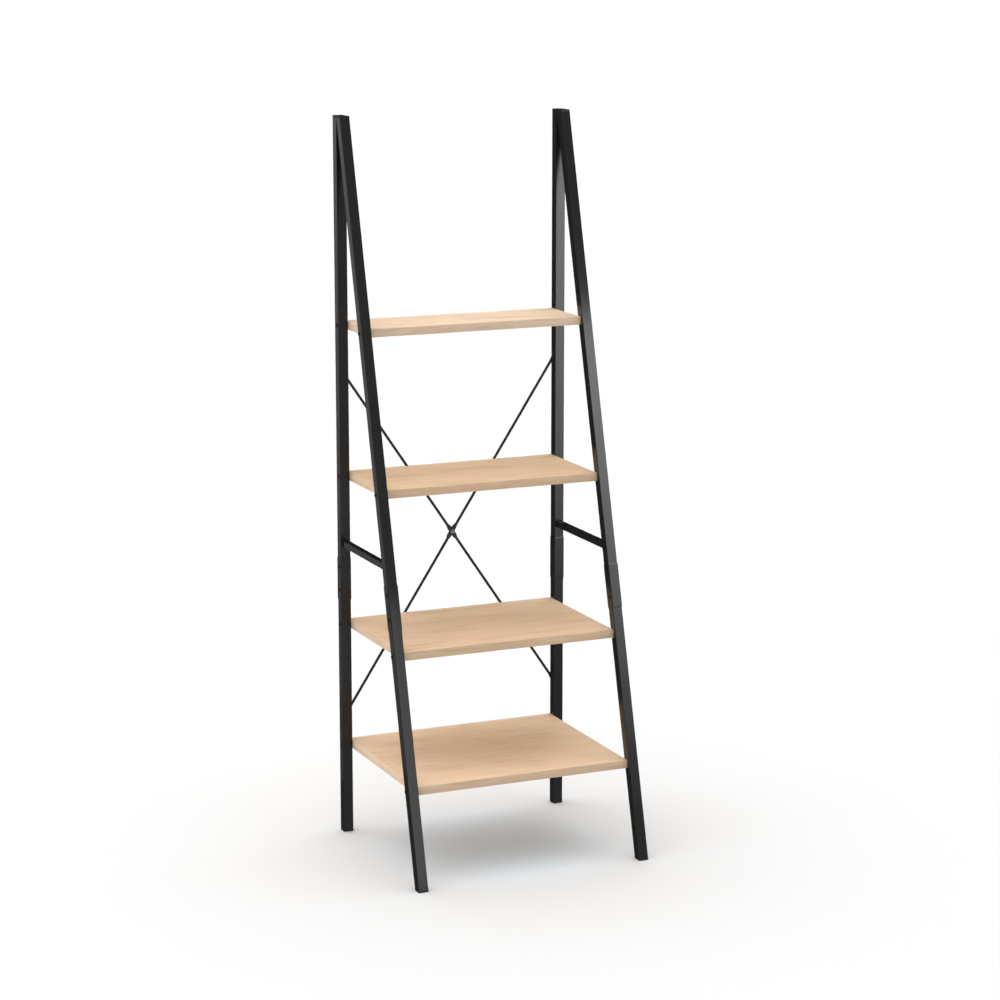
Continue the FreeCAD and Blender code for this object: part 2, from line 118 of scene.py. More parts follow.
class Graph:
    """Adds nodes to one material or world tree."""

    MIX_FACTOR, MIX_FIRST, MIX_SECOND, MIX_RESULT = 0, 6, 7, 2

    def __init__(self, tree: bpy.types.NodeTree) -> None:
        """Starts from an empty tree."""
        self.tree = tree
        tree.nodes.clear()

    def node(
        self,
        kind: str,
        settings: dict[str, object] | None = None,
        values: dict[str | int, Value] | None = None,
    ) -> bpy.types.Node:
        """Adds any node.

        Args:
            kind: the node's type name.
            settings: properties of the node, set first.
            values: numbers, colours or links of its input sockets.

        Returns:
            The new node.
        """
        made = self.tree.nodes.new(kind)
        for name, value in (settings or {}).items():
            setattr(made, name, value)
        for key, value in (values or {}).items():
            if isinstance(value, Sock):
                self.tree.links.new(value.socket, made.inputs[key])
            else:
                made.inputs[key].default_value = value
        return made

    def out(self, node: bpy.types.Node, key: str | int = 0) -> Sock:
        """One output of a node, ready for arithmetic."""
        return Sock(self, node.outputs[key])

    def math(self, operation: str, first: Value, second: Value) -> Sock:
        """Math node of two values."""
        made = self.node("ShaderNodeMath", {"operation": operation}, {0: first, 1: second})
        return self.out(made)

    def coords(
        self,
        scale: Triple = (1.0, 1.0, 1.0),
        shift: Triple = (0.0, 0.0, 0.0),
        turn: float = 0.0,
    ) -> Sock:
        """Object coordinates, turned about Z, stretched and shifted."""
        where = self.out(self.node("ShaderNodeTexCoord"), "Object")
        values = {"Vector": where, "Rotation": (0.0, 0.0, turn)}
        turned = self.node("ShaderNodeMapping", {}, values)
        values = {"Vector": self.out(turned), "Location": shift, "Scale": scale}
        return self.out(self.node("ShaderNodeMapping", {}, values))

    def noise(self, where: Sock, scale: float, detail: float = 2.0, rough: float = 0.5) -> Sock:
        """Noise from 0 to 1, with scale in cells per metre."""
        values = {"Vector": where, "Scale": scale, "Detail": detail, "Roughness": rough}
        return self.out(self.node("ShaderNodeTexNoise", {}, values))

    def blend(self, share: Value, first: Value, second: Value) -> Sock:
        """Colour between two colours."""
        low, high = (c if isinstance(c, Sock) else (*c, 1.0) for c in (first, second))
        values = {self.MIX_FACTOR: share, self.MIX_FIRST: low, self.MIX_SECOND: high}
        return self.out(self.node("ShaderNodeMix", {"data_type": "RGBA"}, values), self.MIX_RESULT)

    def bump(self, height: Sock, distance: float, strength: float = 1.0) -> Sock:
        """Normal raised by a height from 0 to 1 times a distance in metres."""
        values = {"Height": height, "Distance": distance, "Strength": strength}
        return self.out(self.node("ShaderNodeBump", {}, values))

    def surface(self, shader: Sock) -> None:
        """Links a shader to the material's output."""
        self.node("ShaderNodeOutputMaterial", {}, {"Surface": shader})


# -------------------------------------------------------------------- finishes


@dataclass(frozen=True)
class Finish:
    """A surface finish that can be made into a material."""

    name: str

    def paint(self, g: Graph) -> dict[str | int, Value]:
        """Inputs of the Principled shader. Each finish gives its own."""
        raise NotImplementedError


def dimmed(colour: Colour, factor: float) -> Colour:
    """A colour made darker or lighter by a factor."""
    return tuple(factor * part for part in colour)


@functools.cache
def material_of(finish: Finish) -> bpy.types.Material:
    """The one material of a finish.

    Args:
        finish: the finish to make.

    Returns:
        The material, made on the first call.
    """
    made = bpy.data.materials.new(finish.name)
    made.use_nodes = True
    graph = Graph(made.node_tree)
    graph.surface(graph.out(graph.node("ShaderNodeBsdfPrincipled", {}, finish.paint(graph))))
    return made


@dataclass(frozen=True)
class PowderCoat(Finish):
    """Satin baked powder paint with a fine orange-peel skin.

    Attributes:
        tone: middle colour.
        roughness: roughness a little above the middle of its range.
        specular: strength of the sheen.
        peel: width of the orange-peel dimples.
        peel_height: depth of the dimples.
        speck: width of the powder's grains.
        cloud: clouds to a metre.
        darkest: darkest colour, as a share of the tone.
        lightest: lightest colour, as a share of the tone.
    """

    tone: Colour = (0.0068, 0.0068, 0.0071)
    roughness: float = 0.2
    specular: float = 0.4
    peel: float = 1.7 * MM
    peel_height: float = 0.035 * MM
    speck: float = 0.4 * MM
    cloud: float = 7.0
    darkest: float = 0.72
    lightest: float = 1.35

    SPECK_SHARE, CLOUD_SHARE = 0.6, 0.4
    SHADE_LOW, SHADE_HIGH = 0.35, 0.65
    GLOSS_DROP, CLOUD_MATT, SPECK_MATT = 0.05, 0.06, 0.05
    PEEL_RELIEF, SPECK_RELIEF = 0.7, 0.3

    def paint(self, g: Graph) -> dict[str | int, Value]:
        """Dark paint, a little uneven in colour and gloss."""
        where = g.coords()
        peel = g.noise(where, 1 / self.peel, 1.0)
        speck = g.noise(where, 1 / self.speck, 1.0)
        cloud = g.noise(where, self.cloud, 3.0)
        mottle = speck * self.SPECK_SHARE + cloud * self.CLOUD_SHARE
        shade = mottle.ramp(self.SHADE_LOW, self.SHADE_HIGH)
        dark = dimmed(self.tone, self.darkest)
        light = dimmed(self.tone, self.lightest)
        glossiest = self.roughness - self.GLOSS_DROP
        relief = peel * self.PEEL_RELIEF + speck * self.SPECK_RELIEF
        return {
            "Base Color": g.blend(shade, dark, light),
            "Roughness": glossiest + cloud * self.CLOUD_MATT + speck * self.SPECK_MATT,
            "Specular IOR Level": self.specular,
            "Normal": g.bump(relief, self.peel_height),
        }


@dataclass(frozen=True)
class MouldedPlastic(Finish):
    """Injection-moulded black plastic with a fine spark-eroded grain.

    Attributes:
        tone: middle colour.
        roughness: middle of its roughness.
        specular: strength of the sheen.
        grain: width of the grain.
        grain_height: depth of the grain.
        flow: flow marks to a metre.
        darkest: darkest colour, as a share of the tone.
        lightest: lightest colour, as a share of the tone.
    """

    tone: Colour = (0.010, 0.010, 0.010)
    roughness: float = 0.5
    specular: float = 0.4
    grain: float = 0.3 * MM
    grain_height: float = 0.02 * MM
    flow: float = 60.0
    darkest: float = 0.8
    lightest: float = 1.4

    GRAIN_SHARE, FLOW_SHARE = 0.6, 0.4
    GLOSS_DROP, FLOW_MATT = 0.06, 0.12

    def paint(self, g: Graph) -> dict[str | int, Value]:
        """Black plastic, matt in the grain."""
        where = g.coords()
        grain = g.noise(where, 1 / self.grain, 2.0, 0.6)
        flow = g.noise(where, self.flow, 2.0)
        dark = dimmed(self.tone, self.darkest)
        light = dimmed(self.tone, self.lightest)
        shade = grain * self.GRAIN_SHARE + flow * self.FLOW_SHARE
        return {
            "Base Color": g.blend(shade, dark, light),
            "Roughness": self.roughness - self.GLOSS_DROP + flow * self.FLOW_MATT,
            "Specular IOR Level": self.specular,
            "Normal": g.bump(grain, self.grain_height),
        }


@dataclass(frozen=True)
class PlatedSteel(Finish):
    """Zinc-plated or blackened steel of bolts and nuts.

    Attributes:
        tone: colour of the metal.
        roughness: roughness of the metal.
        metallic: share of it that is bare metal.
        brush: width of the tumbling marks.
        brush_height: depth of the marks.
        cloud: clouds to a metre.
        darkest: darkest colour, as a share of the tone.
    """

    tone: Colour = (0.62, 0.62, 0.60)
    roughness: float = 0.32
    metallic: float = 1.0
    brush: float = 0.25 * MM
    brush_height: float = 0.006 * MM
    cloud: float = 240.0
    darkest: float = 0.78

    GLOSS_DROP, CLOUD_MATT, MARKS_MATT = 0.08, 0.1, 0.06

    def paint(self, g: Graph) -> dict[str | int, Value]:
        """Metal with tumbling marks and a faint cloud in the plating."""
        where = g.coords()
        marks = g.noise(where, 1 / self.brush, 3.0, 0.6)
        cloud = g.noise(where, self.cloud, 3.0)
        dark = dimmed(self.tone, self.darkest)
        glossiest = self.roughness - self.GLOSS_DROP
        return {
            "Base Color": g.blend(cloud, dark, self.tone),
            "Metallic": self.metallic,
            "Roughness": glossiest + cloud * self.CLOUD_MATT + marks * self.MARKS_MATT,
            "Normal": g.bump(marks, self.brush_height),
        }


class Grain(Enum):
    """Which way the wood's grain runs, as a turn about Z in radians."""

    ALONG_X = 0.0
    ALONG_Y = math.pi / 2


@dataclass(frozen=True)
class Figure:
    """One noise in the wood, drawn out along the grain.

    Attributes:
        along: cells to a metre along the grain.
        across: cells to a metre across it.
        detail: octaves of finer noise.
        rough: strength of each finer octave.
        zoom: factor on both counts of cells.
        show: how strongly it darkens the wood.
    """

    along: float
    across: float
    detail: float
    rough: float = 0.5
    zoom: float = 1.0
    show: float = 0.0


@dataclass(frozen=True)
class PaleOak(Finish):
    """Light oak under clear matt lacquer: growth rings, streaks, fibres and pores.

    The rings are those of a flat-sawn board: distances from a heart line that passes under
    the board and dips along it, which draws arches where the line is nearest.

    Attributes:
        pale: early wood.
        dark: late wood.
        pore: bottom of the pores.
        blush: rosier patches.
        grain: which way the grain runs.
        shift: where in the log the piece is cut.
        heart: how far the heart line is to one side.
        depth: how far the heart line is below.
        dip: slope of the heart line.
        wobble_across: how far the rings wander sideways.
        wobble_deep: how far they wander in depth.
        ring: width of a ring.
        ring_power: how narrow its late wood is.
        ring_show: how strongly the rings darken the wood.
        base: darkness of the wood between pale and dark.
        blush_show: how rosy the patches are.
        pore_show: how dark the pores are.
        pore_in_ring: share of the pores that keep to the late wood.
        lacquer: roughness of the lacquer.
        specular: strength of the sheen.
        fibre_matt: how much the fibres change the roughness.
        pore_matt: how much rougher the pores are.
        fibre_relief: how far the fibres rise beside the pores.
        relief_height: depth of the pores.
        relief_strength: strength of the relief.
    """

    pale: Colour = (0.81, 0.605, 0.41)
    dark: Colour = (0.61, 0.42, 0.255)
    pore: Colour = (0.50, 0.33, 0.19)
    blush: Colour = (0.80, 0.555, 0.375)
    grain: Grain = Grain.ALONG_X
    shift: Triple = (0.0, 0.0, 0.0)
    heart: float = 0.03
    depth: float = 0.10
    dip: float = 0.06
    wobble_across: float = 0.06
    wobble_deep: float = 0.03
    ring: float = 13 * MM
    ring_power: float = 1.6
    ring_show: float = 0.10
    base: float = 0.30
    blush_show: float = 0.8
    pore_show: float = 0.35
    pore_in_ring: float = 0.6
    lacquer: float = 0.5
    specular: float = 0.35
    fibre_matt: float = 0.16
    pore_matt: float = 0.15
    fibre_relief: float = 0.3
    relief_height: float = 0.03 * MM
    relief_strength: float = 0.6

    WANDER = Figure(1.1, 5.0, 3.0)
    STREAK = Figure(4.5, 44.0, 4.0, 0.55, show=1.0)
    LINE = Figure(15.0, 190.0, 3.0, 0.6, show=1.5)
    FIBRE = Figure(14.0, 620.0, 3.0, 0.6, show=0.6)
    PORES = Figure(70.0, 1900.0, 1.0)
    CLOUD = Figure(4.0, 10.0, 2.0, show=0.8)
    PATCH = Figure(5.0, 21.0, 2.0, zoom=1.3)
    MIDDLE = 0.5
    PALE_TO_DARK = (-0.1, 1.1)
    PATCH_EDGE = (0.40, 0.70)
    PORE_EDGE = (0.60, 0.72)

    def figure(self, g: Graph, figure: Figure) -> Sock:
        """Noise from 0 to 1 of one figure."""
        scale = (figure.along, figure.across, figure.across)
        where = g.coords(scale, self.shift, self.grain.value)
        return g.noise(where, figure.zoom, figure.detail, figure.rough)

    def growth_rings(self, g: Graph) -> Sock:
        """1 in the dark late wood of each ring and 0 in the early wood."""
        wander = self.figure(g, self.WANDER) - self.MIDDLE
        plain = g.coords(shift=self.shift, turn=self.grain.value)
        axes = g.node("ShaderNodeSeparateXYZ", {}, {0: plain})
        along, across, up = (g.out(axes, name) for name in "XYZ")
        aside = across - self.heart + wander * self.wobble_across
        below = along * self.dip + up + self.depth + wander * self.wobble_deep
        radius = (aside * aside + below * below) ** 0.5
        phase = radius * (2 * math.pi / self.ring)
        return (phase.sin() * 0.5 + 0.5) ** self.ring_power

    def paint(self, g: Graph) -> dict[str | int, Value]:
        """Wood colour, sheen and the fine relief of its pores."""
        rings = self.growth_rings(g)
        fibre = self.figure(g, self.FIBRE) - self.MIDDLE
        tone = rings * self.ring_show
        for figure in (self.STREAK, self.LINE):
            tone = tone + (self.figure(g, figure) - self.MIDDLE) * figure.show
        tone = tone + fibre * self.FIBRE.show
        cloud = self.figure(g, self.CLOUD) - self.MIDDLE
        tone = tone + cloud * self.CLOUD.show + self.base
        patch = self.figure(g, self.PATCH).ramp(*self.PATCH_EDGE)
        plank = g.blend(tone.ramp(*self.PALE_TO_DARK), self.pale, self.dark)
        wood = g.blend(patch * self.blush_show, plank, self.blush)
        in_ring = rings * self.pore_in_ring + (1.0 - self.pore_in_ring)
        pitted = self.figure(g, self.PORES).ramp(*self.PORE_EDGE) * in_ring
        relief = 1.0 - pitted - fibre * self.fibre_relief
        return {
            "Base Color": g.blend(pitted * self.pore_show, wood, self.pore),
            "Roughness": self.lacquer + fibre * self.fibre_matt + pitted * self.pore_matt,
            "Specular IOR Level": self.specular,
            "Normal": g.bump(relief, self.relief_height, self.relief_strength),
        }


FRAME_PAINT = PowderCoat("frame_powder_coat")
BRACE_PAINT = PowderCoat("brace_powder_coat", (0.014, 0.014, 0.014), 0.42, peel=1.1 * MM)
WELD_PAINT = PowderCoat("painted_weld", (0.013, 0.013, 0.013), 0.4, peel=0.9 * MM)
CAP_PLASTIC = MouldedPlastic("cap_plastic")
BLACK_HEADS = PowderCoat("painted_heads", roughness=0.26, peel=0.6 * MM, speck=0.2 * MM)
BLACK_BOLTS = PlatedSteel("black_oxide_bolts", (0.045, 0.045, 0.047), 0.38)
GREY_BOLT = PlatedSteel("grey_zinc_bolt", (0.22, 0.22, 0.225), 0.45)
ZINC_STEEL = PlatedSteel("bright_zinc", (0.60, 0.60, 0.58), 0.3)


# ------------------------------------------------------------------ mesh tools


def add_piece(name: str, bm: bmesh.types.BMesh, finish: Finish) -> bpy.types.Object:
    """Turns a bmesh into a finished piece of the shelf.

    Args:
        name: name of the piece.
        bm: its mesh, in the part's frame. It is freed.
        finish: what it is coated with or made of.

    Returns:
        The new object, riding on the shelf's one body.
    """
    mesh = bpy.data.meshes.new(name)
    bm.to_mesh(mesh)
    bm.free()
    piece = bpy.data.objects.new(name, mesh)
    bpy.context.scene.collection.objects.link(piece)
    mesh.materials.append(material_of(finish))
    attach(piece, BODY)
    LOG.info("%s: %d faces", name, len(mesh.polygons))
    return piece


def smooth(piece: bpy.types.Object, degrees: float = 35.0) -> None:
    """Shades a piece smooth, but for its edges sharper than the angle in degrees."""
    for polygon in piece.data.polygons:
        polygon.use_smooth = True
    bm = bmesh.new()
    bm.from_mesh(piece.data)
    for edge in bm.edges:
        edge.smooth = edge.is_manifold and edge.calc_face_angle() < math.radians(degrees)
    bm.to_mesh(piece.data)
    bm.free()


def add_block(bm: bmesh.types.BMesh, low: Vector, high: Vector, ease: float, steps: int) -> None:
    """Adds a box with eased edges.

    Args:
        bm: the mesh to add to.
        low: its lowest corner.
        high: its highest corner.
        ease: how far the edges are rounded, in metres.
        steps: segments of the rounding.
    """
    size = high - low
    place = Matrix.Translation((low + high) / 2) @ Matrix.Diagonal((*size, 1.0))
    verts = bmesh.ops.create_cube(bm, size=1.0, matrix=place)["verts"]
    edges = list({edge for vert in verts for edge in vert.link_edges})
    bmesh.ops.bevel(
        bm,
        geom=edges,
        offset=ease,
        segments=steps,
        profile=0.5,
        affect="EDGES",
        material=-1,
    )


def dress(node: str, finish: Finish) -> None:
    """Gives a CAD node its finish."""
    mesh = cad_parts[node].data
    mesh.materials.clear()
    mesh.materials.append(material_of(finish))
    LOG.info("%s: %s", node, finish.name)


# ---------------------------------------------------------------- the assembly


class Side(Enum):
    """The two side frames, by the sign of X."""

    LEFT = -1
    RIGHT = 1

    def node(self, name: str) -> str:
        """Name of one of this side's nodes."""
        return f"{self.name.lower()}_{name}"


@dataclass(frozen=True)
class SideFrame:
    """One A-shaped side frame: tubes, sleeves, caps, bolts and the welds of its rung.

    Attributes:
        side: left or right.
        bead: radius of the drops of a weld bead.
        beads_per_side: drops along one side of the rung.
        crease: angle in degrees over which a bead's edges stay sharp.
    """

    side: Side
    bead: float = 1.5 * MM
    beads_per_side: int = 7
    crease: float = 80.0

    PAINTED = (
        "upper_upright",
        "lower_upright",
        "upper_leg",
        "lower_leg",
        "rung",
        "upright_sleeve",
        "leg_sleeve",
    )
    MOULDED = ("upright_foot", "leg_foot", "top_cap")
    FASTENERS = ("shelf_bolts", "sleeve_bolts", "sleeve_cap_nuts")
    HIDDEN = ("shelf_inserts",)

    def build(self) -> None:
        """Dresses the frame's nodes and adds its weld beads."""
        for names, finish in (
            (self.PAINTED, FRAME_PAINT),
            (self.MOULDED, CAP_PLASTIC),
            (self.FASTENERS, BLACK_HEADS),
            (self.HIDDEN, ZINC_STEEL),
        ):
            for name in names:
                dress(self.side.node(name), finish)
        self.weld_rung()

    def leg_slope(self) -> float:
        """How far the leg moves back for each metre of height."""
        feet = self.level_edge(self.side.node("lower_leg"), min)
        head = self.level_edge(self.side.node("upper_leg"), max)
        return (head.y - feet.y) / (head.z - feet.z)

    def level_edge(self, node: str, pick: Callable[[Iterable[float]], float]) -> Vector:
        """Foremost point of a tube at its lowest or highest level, by min or max."""
        points = [vert.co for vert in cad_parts[node].data.vertices]
        level = pick(point.z for point in points)
        return min((p for p in points if abs(p.z - level) < SAME), key=lambda point: point.y)

    def weld_rung(self) -> None:
        """Beads round both ends of the rung, on the upright and on the leaning leg."""
        low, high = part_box(self.side.node("rung"))
        slope = self.leg_slope()
        bm = bmesh.new()
        corners = [(low.x, low.z), (high.x, low.z), (high.x, high.z), (low.x, high.z)]
        for lean, base in ((0.0, high.y), (slope, low.y)):
            ring = [Vector((x, base + lean * (z - low.z), z)) for x, z in corners]
            for start, end in zip(ring, ring[1:] + ring[:1]):
                self.add_bead(bm, start, end)
        piece = add_piece(self.side.node("rung_welds"), bm, WELD_PAINT)
        smooth(piece, self.crease)

    def add_bead(self, bm: bmesh.types.BMesh, start: Vector, end: Vector) -> None:
        """Adds a row of overlapping drops from one corner to the next."""
        for step in range(self.beads_per_side):
            place = Matrix.Translation(start.lerp(end, (step + 0.5) / self.beads_per_side))
            bmesh.ops.create_icosphere(bm, subdivisions=2, radius=self.bead, matrix=place)


@dataclass(frozen=True)
class Board:
    """One board: a veneered core with edge bands on its four sides.

    Attributes:
        node: the CAD node it stands for.
        seed: which board of the log it is.
        lift: factor on its wood's colours, painted light and shade: lighter and paler for the top
            board, which gets the most light from above, darker for the middle boards, shaded by
            the boards over them.
        band: thickness of the edge bands.
        long_tint: further factor on the colours of the long bands, painted shade: darker at front
            and back, where less light falls than on the top.
        end_painted_light: further factor on the colours of the end bands, painted light: lighter
            and paler at the ends, as if lit more brightly from the left.
        long_cut: how far along the log the long bands are cut.
        end_cut: how far along the log the end bands are cut.
        log_step: how far apart the boards are cut from the log.
        band_ease: radius of the bands' edges.
        band_steps: segments of that rounding.
        core_ease: radius of the core's edges.
        core_steps: segments of that rounding.
        seam: gap between core and bands.
    """

    node: str
    seed: float
    lift: Colour = (1.0, 1.0, 1.0)
    band: float = 0.8 * MM
    long_tint: Colour = (0.95, 0.945, 0.95)
    end_painted_light: Colour = (1.03, 1.06, 1.13)
    long_cut: float = 0.7
    end_cut: float = 1.9
    log_step: Triple = (1.37, 0.11, 0.53)
    band_ease: float = 0.25 * MM
    band_steps: int = 3
    core_ease: float = 0.15 * MM
    core_steps: int = 2
    seam: float = 0.03 * MM

    SLOT = "board_wood"

    def build(self) -> None:
        """Builds the core and its bands in place of the plain board."""
        low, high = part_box(self.node)
        inset = Vector((self.band + self.seam, self.band + self.seam, 0.0))
        bm = bmesh.new()
        add_block(bm, low + inset, high - inset, self.core_ease, self.core_steps)
        core = add_piece(f"{self.node}_core", bm, self.wood(Grain.ALONG_X, 0.0))
        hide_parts(self.node)
        smooth(core)
        self.add_bands(low, high)

    def wood(self, grain: Grain, offset: float, painted_band_light: Colour = (1.0, 1.0, 1.0)) -> PaleOak:
        """The board's wood for one of its pieces.

        Args:
            grain: which way the grain runs.
            offset: how far along the log the piece is cut, in metres.
            painted_band_light: colour of the piece beside the core's, the painted light and shade
                of its face.

        Returns:
            The finish of the piece.
        """
        along, across, deep = (self.seed * step for step in self.log_step)
        shift = (along + offset, across + offset, deep)
        plain = PaleOak("oak")
        # Painted light and shade: the wood's colours times the board's and the piece's painted
        # light factors.
        pale, dark, pore, blush = (
            tuple(part * lift * share for part, lift, share in zip(colour, self.lift, painted_band_light))
            for colour in (plain.pale, plain.dark, plain.pore, plain.blush)
        )
        name = f"{self.node}_oak_{grain.name.lower()}_{offset:g}"
        return PaleOak(name, pale, dark, pore, blush, grain, shift)

    def add_bands(self, low: Vector, high: Vector) -> None:
        """Adds the long bands at front and back and the short ones at the ends."""
        long_bands = bmesh.new()
        end_bands = bmesh.new()
        for edge in (low.y, high.y - self.band):
            corner = Vector((low.x, edge, low.z))
            far = Vector((high.x, edge + self.band, high.z))
            add_block(long_bands, corner, far, self.band_ease, self.band_steps)
        for edge in (low.x, high.x - self.band):
            corner = Vector((edge, low.y + self.band, low.z))
            far = Vector((edge + self.band, high.y - self.band, high.z))
            add_block(end_bands, corner, far, self.band_ease, self.band_steps)
        # Painted light and shade: the long bands are painted darker and the end bands lighter.
        for name, bm, finish in (
            ("long_bands", long_bands, self.wood(Grain.ALONG_X, self.long_cut, self.long_tint)),
            ("end_bands", end_bands, self.wood(Grain.ALONG_Y, self.end_cut, self.end_painted_light)),
        ):
            smooth(add_piece(f"{self.node}_{name}", bm, finish))


@dataclass(frozen=True)
class Station:
    """Cross-section of a rod at one place along it.

    Attributes:
        along: distance from the left bolt.
        half_width: half its height across the rod, in the rod's plane.
        half_thick: half its thickness from front to back.
        depth: its middle, behind the uprights.
        flat: 0 where it is round and 1 where it is pressed flat.
    """

    along: float
    half_width: float
    half_thick: float
    depth: float
    flat: float


@dataclass(frozen=True)
class Run:
    """One rod's course from its left bolt to its right one.

    Attributes:
        length: distance between the bolts.
        cross: distance from the left bolt to the crossing.
        end_depth: middle of the end flats, behind the uprights.
        cross_depth: middle of the crossing's flat, behind the uprights.
    """

    length: float
    cross: float
    end_depth: float
    cross_depth: float


@dataclass(frozen=True)
class Brace:
    """The crossed rods: round bar, pressed flat at the ends and at the crossing.

    Attributes:
        radius: radius of the round bar.
        clearance: gap between the round bar and the uprights.
        flat_half: half the thickness of the flats.
        flat_width_half: half their width.
        end_radius: radius of the rounded ends.
        shoulder: distance from a bolt to where the flat begins to close.
        taper_end: distance from a bolt to where the bar is round.
        tip_width: width of the very tip, as a share of the flat's thickness.
        tip_thick: its thickness, as a share of the flat's.
        squareness: how square a flat's cross-section is, 0 for an ellipse.
        crease: angle in degrees over which edges stay sharp.
        sides: points round a cross-section.
        taper_steps: cross-sections along a taper.
        end_steps: cross-sections round an end.
    """

    radius: float = 3.5 * MM
    clearance: float = 0.5 * MM
    flat_half: float = 1.5 * MM
    flat_width_half: float = 6 * MM
    end_radius: float = 6.5 * MM
    shoulder: float = 10 * MM
    taper_end: float = 24 * MM
    tip_width: float = 0.3
    tip_thick: float = 0.9
    squareness: float = 4.0
    crease: float = 50.0
    sides: int = 24
    taper_steps: int = 10
    end_steps: int = 6

    ELLIPSE = 2.0

    def build(self) -> None:
        """Builds both rods and dresses the fixings."""
        self.build_rod("brace_rod_front", rises=False)
        self.build_rod("brace_rod_rear", rises=True)
        dress("brace_centre_bolt", GREY_BOLT)
        dress("brace_end_bolts", BLACK_BOLTS)
        dress("brace_centre_nut", ZINC_STEEL)
        dress("brace_rivet_nuts", ZINC_STEEL)

    def crossing(self) -> Vector:
        """Middle of the centre bolt."""
        low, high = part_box("brace_centre_bolt")
        return (low + high) / 2

    def axis_depth(self) -> float:
        """How far the round bar's axis is behind the uprights."""
        return self.radius + self.clearance

    def flatness(self, gap: float) -> float:
        """1 near a bolt and 0 where the bar is round, by the distance from the bolt."""
        share = (self.taper_end - gap) / (self.taper_end - self.shoulder)
        share = min(max(share, 0.0), 1.0)
        return share * share * (3 - 2 * share)

    def section(self, along: float, run: Run) -> Station:
        """Cross-section at one distance from the left bolt."""
        at_end = self.flatness(min(along, run.length - along))
        at_cross = self.flatness(abs(along - run.cross))
        flat = max(at_end, at_cross)
        axis = self.axis_depth()
        return Station(
            along,
            self.radius + (self.flat_width_half - self.radius) * flat,
            self.radius + (self.flat_half - self.radius) * flat,
            axis + (run.end_depth - axis) * at_end + (run.cross_depth - axis) * at_cross,
            flat,
        )

    def end_sections(self, run: Run) -> list[Station]:
        """Cross-sections of both rounded ends, in pairs."""
        found: list[Station] = []

        def add(beyond: float, half_width: float, half_thick: float) -> None:
            """Adds one section at each end, by its distance beyond the bolt."""
            for along in (-beyond, run.length + beyond):
                found.append(Station(along, half_width, half_thick, run.end_depth, 1.0))

        for step in range(1, self.end_steps + 1):
            angle = math.pi / 2 * step / self.end_steps
            half = max(self.end_radius * math.sin(angle), self.flat_half)
            add(self.end_radius * math.cos(angle), half, self.flat_half)
        add(self.end_radius, self.tip_width * self.flat_half, self.tip_thick * self.flat_half)
        return found

    def stations(self, run: Run) -> list[Station]:
        """Cross-sections of a rod, in order from end to end."""
        taper = self.taper_end - self.shoulder
        steps = range(self.taper_steps + 1)
        offsets = [self.shoulder + taper * step / self.taper_steps for step in steps]
        places = offsets + [run.length - offset for offset in offsets]
        places += [run.cross + offset for offset in offsets]
        places += [run.cross - offset for offset in offsets]
        found = [self.section(place, run) for place in places] + self.end_sections(run)
        return sorted(found, key=lambda station: station.along)

    def bolts_of(self, node: str, rises: bool) -> tuple[Vector, Vector]:
        """Centres of a rod's left and right ends, on the uprights' rear faces."""
        low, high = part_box(node)
        inset = self.end_radius
        foot, head = low.z + inset, high.z - inset
        if not rises:
            foot, head = head, foot
        return Vector((low.x + inset, low.y, foot)), Vector((high.x - inset, low.y, head))

    def build_rod(self, node: str, rises: bool) -> None:
        """Builds one rod between its two end bolts.

        Args:
            node: the CAD node it stands for.
            rises: whether it climbs from left to right.
        """
        left, right = self.bolts_of(node, rises)
        along = right - left
        cross = (self.crossing() - left).dot(along) / along.length
        cross_depth = self.axis_depth() + (self.flat_half if rises else -self.flat_half)
        bm = self.loft(self.stations(Run(along.length, cross, self.flat_half, cross_depth)))
        turn = Vector((1.0, 0.0, 0.0)).rotation_difference(along).to_matrix().to_4x4()
        bmesh.ops.transform(bm, matrix=Matrix.Translation(left) @ turn, verts=bm.verts)
        rod = add_piece(f"{node}_bar", bm, BRACE_PAINT)
        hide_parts(node)
        smooth(rod, self.crease)

    def loft(self, stations: list[Station]) -> bmesh.types.BMesh:
        """Skin through the cross-sections, along X and closed at both ends."""
        bm = bmesh.new()
        layer = bm.verts.layers.float.new("angle")
        edges: list[bmesh.types.BMEdge] = []
        for station in stations:
            if edges:
                grown = bmesh.ops.extrude_edge_only(bm, edges=edges)["geom"]
                edges = [item for item in grown if isinstance(item, bmesh.types.BMEdge)]
                edges = [edge for edge in edges if len(edge.link_faces) == 1]
                verts = list({vert for edge in edges for vert in edge.verts})
            else:
                made = bmesh.ops.create_circle(bm, segments=self.sides, radius=1.0)
                verts = made["verts"]
                edges = list(bm.edges)
                for vert in verts:
                    vert[layer] = math.atan2(vert.co.y, vert.co.x)
            self.shape_ring(bm, verts, station)
        bmesh.ops.holes_fill(bm, edges=bm.edges, sides=self.sides)
        bmesh.ops.recalc_face_normals(bm, faces=bm.faces)
        return bm

    def shape_ring(
        self, bm: bmesh.types.BMesh, verts: list[bmesh.types.BMVert], station: Station
    ) -> None:
        """Moves one ring of vertices to its cross-section, round or pressed flat."""
        layer = bm.verts.layers.float["angle"]
        power = self.ELLIPSE / (self.ELLIPSE + self.squareness * station.flat)
        for vert in verts:
            across = math.cos(vert[layer])
            deep = math.sin(vert[layer])
            across = math.copysign(abs(across) ** power, across)
            deep = math.copysign(abs(deep) ** power, deep)
            y = station.depth + deep * station.half_thick
            vert.co = Vector((station.along, y, across * station.half_width))


# ------------------------------------------------------------------ the studio


class Facing(Enum):
    """Which way an upright lamp shines, as a turn about Z in radians."""

    TO_BACK = 0.0
    TO_FRONT = math.pi


